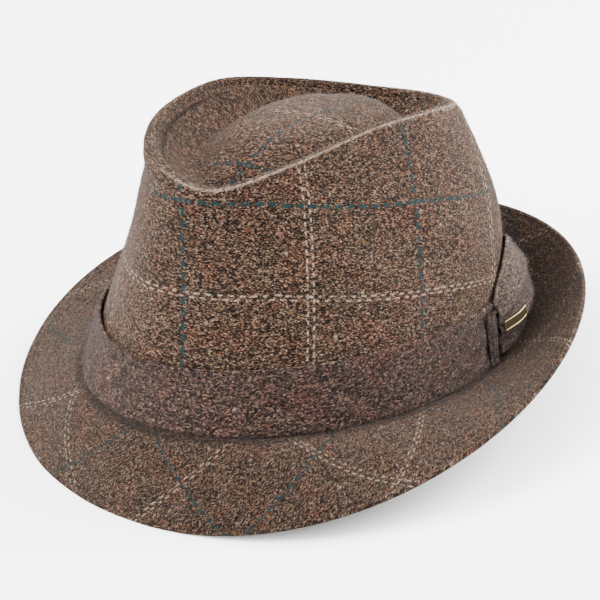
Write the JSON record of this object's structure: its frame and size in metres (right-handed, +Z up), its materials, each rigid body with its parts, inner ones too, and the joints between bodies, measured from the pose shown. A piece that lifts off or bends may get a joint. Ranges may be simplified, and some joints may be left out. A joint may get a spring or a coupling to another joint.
{
  "type": "fedora",
  "caption": "Check tweed fedora with a teardrop crown, a brim turned down in front and up behind, a fuzzy wool band and a gathered side bow with a bare metal plate.",
  "frame": {"origin": "middle of the hat's footprint, on the surface it rests on", "axes": "+Z up, +X towards the wearer's left, +Y towards the back of the hat"},
  "size_m": [0.2756, 0.2778, 0.1435],
  "materials": {
    "tweed": "brown flecked wool tweed with a windowpane check of double cream and single teal lines",
    "band_wool": "fuzzy mauve-brown wool flannel with soft folds",
    "badge_metal": "antique brass, bare face with a bright rim"
  },
  "bodies": {
    "root": {"crown_side": "tweed", "crown_tip": "tweed", "brim": "tweed", "hatband": "band_wool", "bow_wing": "band_wool", "band_knot": "band_wool", "badge_plate": "badge_metal"}
  },
  "joints": []
}
